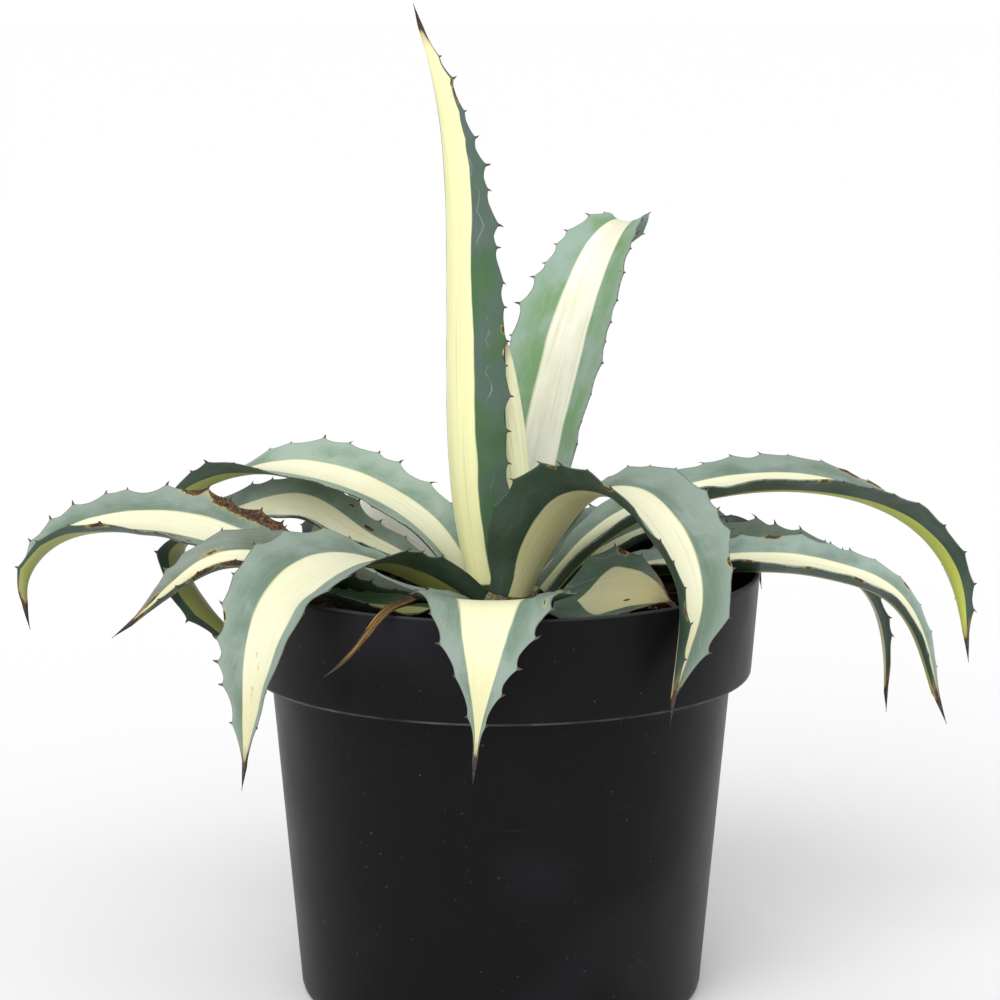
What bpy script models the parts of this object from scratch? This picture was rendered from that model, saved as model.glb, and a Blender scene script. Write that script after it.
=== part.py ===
"""A potted century plant with cream-striped leaves: a nursery pot, its potting mix, the
plant's short stem, and every leaf as a piece of its own.

The frame is the pot's: the origin is the middle of its underside, +Z is up, and the front is
towards -Y. Lengths below are in millimetres and angles in degrees.
"""
import math
from typing import NamedTuple

import bpy
import bmesh
import numpy as np

MM = 0.001
GAP = 0.3                   # clearance between pieces that touch in life

# Pot: a wide-band nursery pot. Radii are of the outer wall.
POT_HEIGHT = 217.0
BASE_RADIUS = 101.5
NECK_RADIUS = 116.0         # body, just under the band
BAND_FOOT_RADIUS = 126.0
RIM_RADIUS = 130.0
BAND_HEIGHT = 51.5
WALL = 2.4
BASE_FILLET = 4.0
BAND_FILLET = 1.6
DRAIN_HOLES = 4
DRAIN_HOLE_RADIUS = 7.0
DRAIN_CIRCLE_RADIUS = 78.0
POT_SIDES = 64

# Potting mix and stem
MIX_TOP = 192.0
MIX_POCKET_DEPTH = 14.0     # the stem is planted this deep
STEM_FOOT_RADIUS = 27.0
STEM_FOOT_CHAMFER = 3.0
STEM_SHOULDER = 194.0       # where the straight foot ends and the cone begins
STEM_TOP = 208.5
STEM_TOP_RADIUS = 10.0
STEM_CONE = [(16, 205), (22, 200)]      # radius and height of the cone's rounded flank
STEM_SIDES = 32

# Leaves: how finely each is lofted, and the hard spine at its tip
STATIONS = 18
POINTS_ACROSS = 5
SPINE_LENGTH = 13.0
SPINE_WIDTH = 2.4
WIDEST_KEEL = 0.9           # thickness is never more than this share of the width
KEEL_TO_MARGIN = 0.8        # share of the thickness lost between the keel and the margin
KEEL_ROUNDING = 1.3


class Leaf(NamedTuple):
    """One leaf. `facing` is the compass angle that it leans to, from +X towards +Y, `width` is
    its greatest width and `midrib` is a smooth curve's points, from the stem to the spine's tip.
    `fold` is half the angle of the arc across it in radians, `roll` turns it about its midrib,
    and `thick` is its thickness, each given at the base, the middle and the tip."""
    name: str
    facing: float
    width: float
    midrib: list
    fold: tuple = (1.0, 0.5, 0.5)
    roll: tuple = (0, 0, 0)
    thick: tuple = (5.0, 3.0, 1.8)
    base: float = 0.3           # width where it leaves the stem, as a share of `width`
    neck: float = 0.6           # width just beyond that, as a share of `width`
    taper: float = 3.0          # higher stays wide for longer
    point: float = 1.0          # higher draws the tip out thinner
    flare: float = 0.0          # how much the margins flatten out again


GREEN = (0.20, 0.30, 0.25, 1)
BROWN = (0.25, 0.13, 0.05, 1)

LEAVES = [
    Leaf("bud", -35, 60, fold=(2.5, 2.5, 2.5), thick=(1.6, 1.6, 1.2), base=0.95, neck=0.95, taper=2.2,
         midrib=[(12, -2, 211), (12, 0, 245), (11, 1, 270), (7, 5, 305), (3, 9, 326),
                 (-2, 12, 341)]),
    Leaf("leaf_spear", 220, 54, fold=(1.2, 1.2, 0.9), base=0.75, neck=0.85, point=1.1,
         midrib=[(-10, -8, 211), (-17, -13, 252), (-20, -18, 304), (-21, -22, 380),
                 (-28, -26, 450), (-42, -29, 497)]),
    Leaf("leaf_upright", 52, 66, fold=(0.8, 0.5, 0.6), neck=0.8, taper=3.6,
         midrib=[(9, 18, 209), (19, 32, 262), (32, 54, 318), (47, 80, 360), (60, 105, 379),
                 (67, 121, 381), (64, 133, 369), (55, 139, 350)]),
    Leaf("leaf_front_right", -46, 80, fold=(0.8, 0.65, 1.0), roll=(0, -8, -28), base=0.42, neck=0.78,
         taper=3.6,
         midrib=[(8, -15, 207), (20, -27, 237), (40, -45, 262), (61, -64, 264), (77, -82, 251),
                 (88, -97, 226), (85, -110, 199), (79, -119, 164)]),
    Leaf("leaf_upper_left", 158, 48, fold=(1.0, 0.8, 0.9), roll=(-20, -17, 40), base=0.5, neck=0.72,
         taper=4.5, flare=0.5,
         midrib=[(-15, 8, 207), (-34, 17, 231), (-62, 32, 249), (-104, 48, 259), (-140, 60, 255),
                 (-168, 66, 241), (-184, 68, 222)]),
    Leaf("leaf_upper_right", 12, 48, fold=(1.0, 1.0, 0.9), roll=(5, 7, -30), thick=(6.0, 6.0, 2.6),
         base=0.4, neck=0.72, taper=3.6, flare=0.75,
         midrib=[(21, 3, 204), (50, 10, 233), (99, 24, 252), (150, 32, 256), (202, 42, 241),
                 (234, 47, 208), (244, 48, 157)]),
    Leaf("leaf_front_left", 221, 76, fold=(1.0, 0.4, 0.5), roll=(15, -8, 0), base=0.36, neck=0.48,
         taper=2.6,
         midrib=[(-17, -17, 202), (-32, -31, 215), (-65, -58, 232), (-87, -78, 233),
                 (-104, -95, 222), (-113, -107, 203), (-117, -112, 180), (-122, -115, 132)]),
    Leaf("leaf_curled_left", 154, 50, roll=(-10, -20, 0), neck=0.4, taper=4.0,
         midrib=[(-22, 10, 202.5), (-45, 22, 214.5), (-80, 39, 229.5), (-105, 48.5, 240),
                 (-142, 57, 231), (-168, 60, 215), (-163, 58, 194), (-143, 55, 171),
                 (-120, 52, 149)]),
    Leaf("leaf_back_right", 31, 40, base=0.35,
         midrib=[(25, 15, 202), (52, 32, 218), (90, 54, 230), (118, 68, 229), (133, 76, 215),
                 (138, 78, 190)]),
    Leaf("leaf_back_left", 128, 48, roll=(-15, -25, 0), base=0.28, neck=0.65,
         midrib=[(-16, 22, 203), (-33, 44, 211), (-53, 66, 221), (-71, 88, 227), (-90, 109, 226),
                 (-101, 126, 209), (-105, 134, 178)]),
    Leaf("leaf_rear_left", 106, 44,
         midrib=[(-4, 31, 199), (-12, 53, 205), (-25, 90, 218), (-36, 126, 225), (-44, 152, 208),
                 (-48, 162, 174)]),
    Leaf("leaf_rear_right", 57, 42,
         midrib=[(16, 27, 199), (28, 48, 207), (50, 80, 219), (72, 108, 224), (86, 128, 206),
                 (92, 136, 174)]),
    Leaf("leaf_outer_left", 175, 50, fold=(1.0, 0.6, 1.2), roll=(0, -22, 0), thick=(5.0, 4.0, 2.2),
         neck=0.5, taper=4.5,
         midrib=[(-31, 3, 198.5), (-76, 8, 207.5), (-105, 11, 216), (-127, 13, 225),
                 (-157, 16, 234), (-192, 16, 237), (-226, 14, 228), (-242, 11, 207),
                 (-239, 8, 183)]),
    Leaf("leaf_rear", 80, 46, base=0.35,
         midrib=[(5, 26, 203), (10, 46, 222), (18, 90, 236), (26, 128, 235), (32, 152, 216),
                 (35, 162, 182)]),
    Leaf("leaf_lower_right", -6, 46, fold=(1.0, 1.1, 1.2), roll=(5, 11, 12), thick=(5.5, 5.0, 3.0),
         flare=0.75,
         midrib=[(30, -8, 199), (60, -8, 215), (90, -11, 221), (117, -14, 222.5), (147, -16, 222),
                 (169, -18, 218), (190, -19, 210), (205, -20, 194), (216, -21, 164),
                 (223, -21, 141)]),
    Leaf("leaf_front", -92, 110, fold=(0.8, 0.2, 0.5), base=0.25, neck=0.42, taper=2.4, point=1.9,
         midrib=[(0, -30, 199), (-2, -74, 212), (-4, -110, 221), (-6, -135, 225), (-8, -148, 208),
                 (-10, -151, 180), (-13, -149, 144)]),
    Leaf("leaf_small_left", 199, 54, fold=(1.0, 0.9, 0.8), roll=(0, -18, -10), neck=0.5, taper=2.4,
         midrib=[(-31, -14, 199), (-72, -31, 213), (-112, -45, 228), (-138, -50, 229),
                 (-163, -54, 214), (-189, -58, 193)]),
    Leaf("leaf_behind_right", 15, 38, roll=(10, 15, 15), base=0.35, taper=5.0,
         midrib=[(34, 5.5, 197.5), (60, 13, 206), (90, 24, 217), (128, 38, 221), (165, 48, 212),
                 (190, 53, 196), (200, 56, 174), (203, 57, 150), (203, 58, 128)]),
    Leaf("leaf_tucked", -38, 58, fold=(1.0, 0.4, 0.5), roll=(15, 45, 30),
         midrib=[(24, -22, 199), (45, -43, 211), (66, -59, 216), (82, -67, 212), (90, -70, 204)]),
    Leaf("leaf_low_left", 223, 38, fold=(1.0, 0.4, 0.6), roll=(-10, -10, 0), base=0.35,
         midrib=[(-24, -28, 199), (-44, -46, 204), (-68, -67, 211), (-90, -83, 221.5),
                 (-99, -90, 221), (-105, -95, 211)]),
    Leaf("leaf_dried", 245, 9, fold=(1.0, 0.8, 0.8), thick=(1.5, 1.2, 0.8), base=0.6, neck=0.9,
         midrib=[(-14, -34, 200), (-36, -80, 216), (-46, -108, 220), (-55, -126, 218),
                 (-69, -140, 203), (-81, -146, 194)]),
]


def clear_scene():
    """Remove every object that the file started with."""
    for obj in list(bpy.data.objects):
        bpy.data.objects.remove(obj, do_unlink=True)


def new_collection(name):
    """A collection linked to the scene."""
    collection = bpy.data.collections.new(name)
    bpy.context.scene.collection.children.link(collection)
    return collection


def material(name, colour, roughness):
    """A Principled material."""
    mat = bpy.data.materials.new(name)
    mat.use_nodes = True
    shader = mat.node_tree.nodes["Principled BSDF"]
    shader.inputs["Base Color"].default_value = colour
    shader.inputs["Roughness"].default_value = roughness
    shader.inputs["Metallic"].default_value = 0.0
    return mat


def add_object(name, mesh, collection, mat):
    """Put a mesh in the scene as a named piece."""
    obj = bpy.data.objects.new(name, mesh)
    obj.data.materials.append(mat)
    collection.objects.link(obj)
    return obj


def arc(centre_r, centre_z, radius, start, end, steps=3):
    """Points of a rounded edge in the profile plane, from one angle to another."""
    angles = np.radians(np.linspace(start, end, steps))
    return [(centre_r + radius * math.cos(a), centre_z + radius * math.sin(a)) for a in angles]


def turned(name, profile, collection, mat, sides):
    """A solid of revolution about Z, from (radius, height) points that start and end on the axis
    and run down the outer side."""
    mesh = bpy.data.meshes.new(name)
    bm = bmesh.new()
    verts = [bm.verts.new((r * MM, 0, z * MM)) for r, z in profile]
    for a, b in zip(verts, verts[1:]):
        bm.edges.new((a, b))
    bm.to_mesh(mesh)
    bm.free()
    obj = add_object(name, mesh, collection, mat)
    screw = obj.modifiers.new("turn", "SCREW")
    screw.axis = "Z"
    screw.steps = sides
    screw.render_steps = sides
    screw.use_merge_vertices = True
    screw.merge_threshold = 0.00001
    return obj


def body_radius(height):
    """Radius of the inner wall below the band."""
    return BASE_RADIUS + (NECK_RADIUS - BASE_RADIUS) * height / (POT_HEIGHT - BAND_HEIGHT) - WALL


def band_radius(height):
    """Radius of the inner wall inside the band."""
    share = (height - POT_HEIGHT + BAND_HEIGHT) / BAND_HEIGHT
    return BAND_FOOT_RADIUS + (RIM_RADIUS - BAND_FOOT_RADIUS) * share - WALL


def make_pot(collection, cutters):
    """The moulded pot: one thin wall that steps out to the band, and a floor with drain holes."""
    shoulder = POT_HEIGHT - BAND_HEIGHT
    ledge = shoulder + WALL
    lip = WALL / 2
    profile = [(0, WALL), (body_radius(WALL), WALL)]
    profile += [(body_radius(ledge), ledge), (band_radius(ledge), ledge)]
    profile += arc(RIM_RADIUS - lip, POT_HEIGHT - lip, lip, 180, 0, 5)
    profile += arc(BAND_FOOT_RADIUS - BAND_FILLET, shoulder + BAND_FILLET, BAND_FILLET, 0, -90)
    profile += [(NECK_RADIUS, shoulder)]
    profile += arc(BASE_RADIUS - BASE_FILLET, BASE_FILLET, BASE_FILLET, 0, -90, 4)
    profile += [(0, 0)]
    pot = turned("pot", profile, collection, material("black_plastic", (0.012, 0.012, 0.013, 1), 0.35),
                 POT_SIDES)
    for k in range(DRAIN_HOLES):
        angle = 2 * math.pi * k / DRAIN_HOLES
        centre = (DRAIN_CIRCLE_RADIUS * MM * math.cos(angle), DRAIN_CIRCLE_RADIUS * MM * math.sin(angle), 0)
        bpy.ops.mesh.primitive_cylinder_add(vertices=16, radius=DRAIN_HOLE_RADIUS * MM,
                                            depth=4 * WALL * MM, location=centre)
        drill = bpy.context.active_object
        for owner in list(drill.users_collection):
            owner.objects.unlink(drill)
        cutters.objects.link(drill)
    cut = pot.modifiers.new("drain_holes", "BOOLEAN")
    cut.operand_type = "COLLECTION"
    cut.collection = cutters
    cut.operation = "DIFFERENCE"
    cut.solver = "EXACT"


def make_potting_mix(collection):
    """The fill, a hair inside the pot's wall, with a pocket that the stem stands in."""
    ledge = POT_HEIGHT - BAND_HEIGHT + WALL + GAP
    floor = WALL + GAP
    pocket = STEM_FOOT_RADIUS + GAP
    profile = [(0, MIX_TOP - MIX_POCKET_DEPTH), (pocket, MIX_TOP - MIX_POCKET_DEPTH), (pocket, MIX_TOP)]
    profile += [(band_radius(MIX_TOP) - GAP, MIX_TOP), (band_radius(ledge) - GAP, ledge)]
    profile += [(body_radius(ledge) - GAP, ledge), (body_radius(floor) - GAP, floor), (0, floor)]
    turned("potting_mix", profile, collection, material("peat_mix", (0.05, 0.03, 0.02, 1), 0.95), POT_SIDES)


def make_stem(collection):
    """The squat stem: a low cone above the mix and a straight foot in it."""
    foot = MIX_TOP - MIX_POCKET_DEPTH + GAP
    profile = [(0, STEM_TOP), (STEM_TOP_RADIUS, STEM_TOP)] + STEM_CONE
    profile += [(STEM_FOOT_RADIUS, STEM_SHOULDER), (STEM_FOOT_RADIUS, foot + STEM_FOOT_CHAMFER)]
    profile += [(STEM_FOOT_RADIUS - STEM_FOOT_CHAMFER, foot), (0, foot)]
    turned("stem", profile, collection, material("stem_fibre", (0.30, 0.27, 0.15, 1), 0.8), STEM_SIDES)


def smooth_step(low, high, x):
    """0 below `low`, 1 above `high`, and smooth between."""
    t = np.clip((x - low) / (high - low), 0, 1)
    return t * t * (3 - 2 * t)


def along(values, s):
    """Blend base, middle and tip values along the leaf."""
    base, middle, tip = values
    first = base + (middle - base) * smooth_step(0, 0.5, s)
    return first + (tip - middle) * smooth_step(0.5, 1, s)


def midrib_curve(points, stations):
    """Natural cubic spline through the points, sampled at equal lengths: places and length."""
    p = np.array(points, float)
    count = len(p)
    knots = np.concatenate([[0], np.cumsum(np.linalg.norm(np.diff(p, axis=0), axis=1) ** 0.75)])
    h = np.diff(knots)
    system = np.eye(count)
    right = np.zeros((count, 3))
    for i in range(1, count - 1):
        system[i, i - 1:i + 2] = [h[i - 1], 2 * (h[i - 1] + h[i]), h[i]]
        right[i] = 6 * ((p[i + 1] - p[i]) / h[i] - (p[i] - p[i - 1]) / h[i - 1])
    bend = np.linalg.solve(system, right)
    x = np.linspace(0, knots[-1], 120)
    k = np.clip(np.searchsorted(knots, x, side="right") - 1, 0, count - 2)
    u = (x - knots[k])[:, None]
    step = h[k][:, None]
    slope = (p[k + 1] - p[k]) / step - step * (2 * bend[k] + bend[k + 1]) / 6
    fine = p[k] + u * slope + u ** 2 * bend[k] / 2 + u ** 3 * (bend[k + 1] - bend[k]) / (6 * step)
    travelled = np.concatenate([[0], np.cumsum(np.linalg.norm(np.diff(fine, axis=0), axis=1))])
    wanted = np.linspace(0, travelled[-1], stations)
    return np.stack([np.interp(wanted, travelled, fine[:, axis]) for axis in range(3)], 1), travelled[-1]


def width_along(leaf, s, length):
    """Clasping base, neck, widest near the middle, then the taper into the round spine."""
    spine_start = 1 - SPINE_LENGTH / length
    x = np.clip(s / spine_start, 0, 1)
    share = leaf.neck + (1 - leaf.neck) * smooth_step(0.12, 0.55, x)
    share = share + (leaf.base - leaf.neck) * (1 - smooth_step(0, 0.2, x))
    blade = leaf.width * share * (1 - x ** leaf.taper) ** leaf.point
    spine = SPINE_WIDTH * np.clip((1 - s) / (1 - spine_start), 0.12, 1)
    return np.sqrt(blade ** 2 + spine ** 2)


def section(fold, flare, across):
    """Sideways and upward shares of the half width at each place across: the integrals of cos
    and sin of the blade's lean, fold (a - flare a^3), by six-point Gauss-Legendre sums."""
    nodes, weights = np.polynomial.legendre.leggauss(6)
    a = across[..., None] * (1 + nodes) / 2
    lean = fold[:, None, None] * (a - flare * a ** 3)
    return across * (np.cos(lean) @ weights) / 2, across * (np.sin(lean) @ weights) / 2


def leaf_rings(leaf):
    """Rings of points around the leaf, one for each station: upper face, then the lower one
    back again. Each ring is a gutter across the midrib, thickest in the middle."""
    centre, length = midrib_curve(leaf.midrib, STATIONS)
    s = np.linspace(0, 1, STATIONS)
    ahead = np.gradient(centre, axis=0)
    ahead = ahead / np.linalg.norm(ahead, axis=1)[:, None]
    facing = math.radians(leaf.facing)
    side = np.array([-math.sin(facing), math.cos(facing), 0.0])
    side = side - (ahead @ side)[:, None] * ahead
    side = side / np.linalg.norm(side, axis=1)[:, None]
    up = np.cross(ahead, side)
    turn = np.radians(along(leaf.roll, s))[:, None]
    side, up = side * np.cos(turn) + up * np.sin(turn), up * np.cos(turn) - side * np.sin(turn)

    width = width_along(leaf, s, length)
    fold = along(leaf.fold, s)
    half = (width / 2)[:, None]
    across = np.linspace(-1, 1, POINTS_ACROSS)[None]
    angle = fold[:, None] * (across - leaf.flare * across ** 3)
    out_share, up_share = section(fold, leaf.flare, across)
    deepest = np.minimum(along(leaf.thick, s), WIDEST_KEEL * width)[:, None]
    depth = deepest * (1 - KEEL_TO_MARGIN * np.abs(across) ** KEEL_ROUNDING)

    upper = centre[:, None] + (half * out_share)[..., None] * side[:, None]
    upper = upper + (half * up_share)[..., None] * up[:, None]
    lower = upper + (depth * np.sin(angle))[..., None] * side[:, None]
    lower = lower - (depth * np.cos(angle))[..., None] * up[:, None]
    return np.concatenate([upper, lower[:, ::-1]], axis=1) * MM


def make_leaf(leaf, collection):
    """Loft one leaf through its rings and close both ends."""
    rings = leaf_rings(leaf)
    stations, around = rings.shape[:2]
    bm = bmesh.new()
    verts = [[bm.verts.new(p) for p in ring] for ring in rings]
    for near, far in zip(verts, verts[1:]):
        for j in range(around):
            k = (j + 1) % around
            bm.faces.new((near[j], near[k], far[k], far[j]))
    for ring in (verts[0], verts[-1]):
        for j in range(around // 2 - 1):
            bm.faces.new((ring[j], ring[j + 1], ring[around - 2 - j], ring[around - 1 - j]))
    bmesh.ops.triangulate(bm, faces=bm.faces)
    bmesh.ops.recalc_face_normals(bm, faces=bm.faces)
    mesh = bpy.data.meshes.new(leaf.name)
    bm.to_mesh(mesh)
    bm.free()
    dried = leaf.name == "leaf_dried"
    mat = material(leaf.name, BROWN if dried else GREEN, 0.8 if dried else 0.5)
    add_object(leaf.name, mesh, collection, mat)


def main():
    clear_scene()
    plant = new_collection("potted_agave")
    cutters = new_collection("cutters")
    make_pot(plant, cutters)
    make_potting_mix(plant)
    make_stem(plant)
    for leaf in LEAVES:
        make_leaf(leaf, plant)
    cutters.hide_viewport = True
    cutters.hide_render = True


main()
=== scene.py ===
"""A young agave with cream-striped leaves, potted in a black nursery pot.

The sections follow the plant as it is put together: the pot, the potting mix, the short stem,
then each living leaf, the bud at the heart and the one dried leaf. Lengths in the code are
millimetres in the pot's frame (origin in the middle of its underside, +Z up, front towards -Y)
and become metres when a mesh is made.
"""
import math
from typing import NamedTuple, Sequence

import bpy
import numpy as np
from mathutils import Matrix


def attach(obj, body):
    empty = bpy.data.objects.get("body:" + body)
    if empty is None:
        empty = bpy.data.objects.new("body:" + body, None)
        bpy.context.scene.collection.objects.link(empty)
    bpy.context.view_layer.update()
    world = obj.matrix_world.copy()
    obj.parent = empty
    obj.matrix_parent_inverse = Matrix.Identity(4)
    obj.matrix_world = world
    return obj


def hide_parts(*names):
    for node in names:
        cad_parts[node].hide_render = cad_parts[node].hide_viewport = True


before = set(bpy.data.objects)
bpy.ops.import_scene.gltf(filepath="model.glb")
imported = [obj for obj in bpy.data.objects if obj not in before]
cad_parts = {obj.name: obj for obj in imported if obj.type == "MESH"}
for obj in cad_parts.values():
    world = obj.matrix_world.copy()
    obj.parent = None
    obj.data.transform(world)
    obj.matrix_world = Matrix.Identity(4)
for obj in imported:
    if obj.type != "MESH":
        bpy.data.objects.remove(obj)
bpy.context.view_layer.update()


# ---------------------------------------------------------------------------------------------
# Studio: a plain pale floor that reaches past the horizon, soft light from above the camera,
# and a camera a metre and a half away that looks a little down on the plant.

MM = 0.001
FLOOR_REACH = 40000.0
SKY_STRENGTH = 0.62
SKY_SEEN_EXTRA = 0.40
CAMERA_DISTANCE = 1.5
CAMERA_HEIGHT = 0.507
CAMERA_DIP = 9.68


class Graph:
    """Adds nodes to one node tree. Inputs may be plain values or other nodes' outputs."""

    def __init__(self, tree):
        self.tree = tree

    def feed(self, socket, value):
        if isinstance(value, bpy.types.NodeSocket):
            self.tree.links.new(value, socket)
        else:
            socket.default_value = value

    def node(self, kind, inputs=None, **settings):
        made = self.tree.nodes.new(kind)
        for key, value in settings.items():
            setattr(made, key, value)
        for key, value in (inputs or {}).items():
            self.feed(made.inputs[key], value)
        return made

    def math(self, operation, first, second=0.0, clamp=False):
        return self.node("ShaderNodeMath", {0: first, 1: second}, operation=operation,
                         use_clamp=clamp).outputs[0]

    def plus(self, first, second):
        return self.math("ADD", first, second)

    def minus(self, first, second):
        return self.math("SUBTRACT", first, second)

    def times(self, first, second):
        return self.math("MULTIPLY", first, second)

    def fade(self, value, low, high):
        """0 below low, 1 above high, smooth between. low may be above high, to fall instead."""
        rising = low <= high
        made = self.node("ShaderNodeMapRange",
                         {"Value": value, "From Min": min(low, high), "From Max": max(low, high),
                          "To Min": 0.0 if rising else 1.0, "To Max": 1.0 if rising else 0.0},
                         interpolation_type="SMOOTHSTEP")
        return made.outputs[0]

    def mix(self, share, first, second):
        return self.node("ShaderNodeMix", {0: share, 6: first, 7: second}, data_type="RGBA").outputs[2]

    def noise(self, place, scale, detail=3.0, roughness=0.55, distortion=0.0):
        inputs = {"Vector": place, "Scale": scale, "Detail": detail, "Roughness": roughness,
                  "Distortion": distortion}
        return self.node("ShaderNodeTexNoise", inputs).outputs[0]

    def on_object(self):
        return self.node("ShaderNodeTexCoord").outputs["Object"]

    def stretched(self, place, scale, turn=(0, 0, 0)):
        return self.node("ShaderNodeMapping", {"Vector": place, "Scale": scale, "Rotation": turn}).outputs[0]

    def place(self, x, y, z):
        return self.node("ShaderNodeCombineXYZ", {0: x, 1: y, 2: z}).outputs[0]

    def attribute(self, name):
        return self.node("ShaderNodeAttribute", attribute_name=name).outputs["Fac"]

    def bump(self, height, strength, distance):
        return self.node("ShaderNodeBump", {"Height": height, "Strength": strength,
                                            "Distance": distance}).outputs[0]


def new_material(name, **values):
    """A Principled material, its graph and its shader, with plain values set on the sockets."""
    material = bpy.data.materials.new(name)
    material.use_nodes = True
    shader = material.node_tree.nodes["Principled BSDF"]
    for key, value in values.items():
        shader.inputs[key.replace("_", " ")].default_value = value
    return material, Graph(material.node_tree), shader


def new_piece(name, verts_mm, quads, triangles, *materials):
    """An object at the origin from arrays of points in millimetres and of faces' corners."""
    mesh = bpy.data.meshes.new(name)
    quads = np.asarray(quads, np.int32).reshape(-1, 4)
    triangles = np.asarray(triangles, np.int32).reshape(-1, 3)
    corners = np.concatenate([quads.ravel(), triangles.ravel()])
    sizes = np.concatenate([np.full(len(quads), 4, np.int32), np.full(len(triangles), 3, np.int32)])
    starts = np.concatenate([[0], np.cumsum(sizes)[:-1]]).astype(np.int32)
    mesh.vertices.add(len(verts_mm))
    mesh.vertices.foreach_set("co", (np.asarray(verts_mm, float) * MM).astype(np.float32).ravel())
    mesh.loops.add(len(corners))
    mesh.loops.foreach_set("vertex_index", corners)
    mesh.polygons.add(len(sizes))
    mesh.polygons.foreach_set("loop_start", starts)
    mesh.update(calc_edges=True)
    mesh.validate()
    mesh.shade_smooth()
    for material in materials:
        mesh.materials.append(material)
    piece = bpy.data.objects.new(name, mesh)
    bpy.context.scene.collection.objects.link(piece)
    return piece


floor_paint, graph, shader = new_material("pale_floor", Base_Color=(0.945, 0.945, 0.95, 1),
                                          Roughness=0.9, Specular_IOR_Level=0.1)
floor_corners = [(x * FLOOR_REACH, y * FLOOR_REACH, 0) for x, y in ((-1, -1), (1, -1), (1, 1), (-1, 1))]
floor = new_piece("floor", floor_corners, [(0, 1, 2, 3)], [], floor_paint)

sky = bpy.data.worlds.new("studio")
sky.use_nodes = True
bpy.context.scene.world = sky
graph = Graph(sky.node_tree)
seen = graph.node("ShaderNodeLightPath").outputs["Is Camera Ray"]
graph.feed(sky.node_tree.nodes["Background"].inputs["Strength"],
           graph.plus(SKY_STRENGTH, graph.times(seen, SKY_SEEN_EXTRA)))
sky.node_tree.nodes["Background"].inputs["Color"].default_value = (1.0, 1.0, 1.0, 1)

for lamp_name, turn, energy, angle in (("key_light", (54, 0, -22), 1.9, 50),
                                       ("fill_light", (60, 0, 40), 0.6, 60)):
    lamp = bpy.data.lights.new(lamp_name, "SUN")
    lamp.energy = energy
    lamp.angle = math.radians(angle)
    holder = bpy.data.objects.new(lamp_name, lamp)
    holder.rotation_euler = [math.radians(a) for a in turn]
    bpy.context.scene.collection.objects.link(holder)

camera = bpy.data.cameras.new("camera")
camera.sensor_width = 36.0
camera.lens = 109.3
camera.shift_x = -0.001
camera_holder = bpy.data.objects.new("camera", camera)
camera_holder.location = (0, -CAMERA_DISTANCE, CAMERA_HEIGHT)
camera_holder.rotation_euler = (math.radians(90 - CAMERA_DIP), 0, 0)
bpy.context.scene.collection.objects.link(camera_holder)
bpy.context.scene.camera = camera_holder
bpy.context.scene.view_settings.view_transform = "Standard"


# ---------------------------------------------------------------------------------------------
# Pot: a wide-band nursery pot of 26 cm, moulded in one from black polypropylene. Its wall is
# thin, steps out to the band and ends in a rolled lip, and the floor has drain holes.

POT_HEIGHT = 217.0
BASE_RADIUS = 101.5
NECK_RADIUS = 116.0
BAND_FOOT_RADIUS = 126.0
RIM_RADIUS = 130.0
BAND_HEIGHT = 51.5
WALL = 2.4
DRAIN_HOLE_RADIUS = 7.0
DRAIN_CIRCLE_RADIUS = 78.0
DRAIN_HOLES = 4
FLOOR_FILLET = 3.0
BAND_FILLET = 1.4
FOOT_FILLET = 4.0
SHOULDER = POT_HEIGHT - BAND_HEIGHT


def arc(centre_r, centre_z, radius, start, end, steps):
    """Radius and height along a rounded edge, from one angle in degrees to another."""
    angle = np.radians(np.linspace(start, end, steps))
    return np.stack([centre_r + radius * np.cos(angle), centre_z + radius * np.sin(angle)], 1)


def straight(first, last, steps):
    """Points along a straight stretch of a profile."""
    return np.linspace(first, last, steps)


def turned(profile, sides):
    """A profile of (radius, height) that starts and ends on the axis, carried round Z:
    x = r cos a, y = r sin a. The first and last rings are single points. Quads wind outwards
    for a profile that runs from the axis out over the top and down."""
    angle = np.linspace(0, 2 * np.pi, sides, endpoint=False)
    rings = profile[1:-1]
    grid = np.stack([rings[:, :1] * np.cos(angle), rings[:, :1] * np.sin(angle),
                     np.repeat(rings[:, 1:], sides, axis=1)], -1)
    rows, _ = grid.shape[:2]
    index = np.arange(rows * sides).reshape(rows, sides)
    after = np.roll(index, -1, axis=1)
    quads = np.stack([index[:-1], index[1:], after[1:], after[:-1]], -1).reshape(-1, 4)
    top, foot = rows * sides, rows * sides + 1
    caps = np.concatenate([np.stack([np.full(sides, top), index[0], after[0]], 1),
                           np.stack([np.full(sides, foot), after[-1], index[-1]], 1)])
    ends = np.array([(0, 0, profile[0, 1]), (0, 0, profile[-1, 1])])
    return np.concatenate([grid.reshape(-1, 3), ends]), quads, caps


def wall_radius(height, inset=0.0):
    """Outer radius of the body below the band, less an inset."""
    return BASE_RADIUS + (NECK_RADIUS - BASE_RADIUS) * height / SHOULDER - inset


def band_radius(height, inset=0.0):
    """Outer radius of the band, less an inset."""
    return BAND_FOOT_RADIUS + (RIM_RADIUS - BAND_FOOT_RADIUS) * (height - SHOULDER) / BAND_HEIGHT - inset


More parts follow.
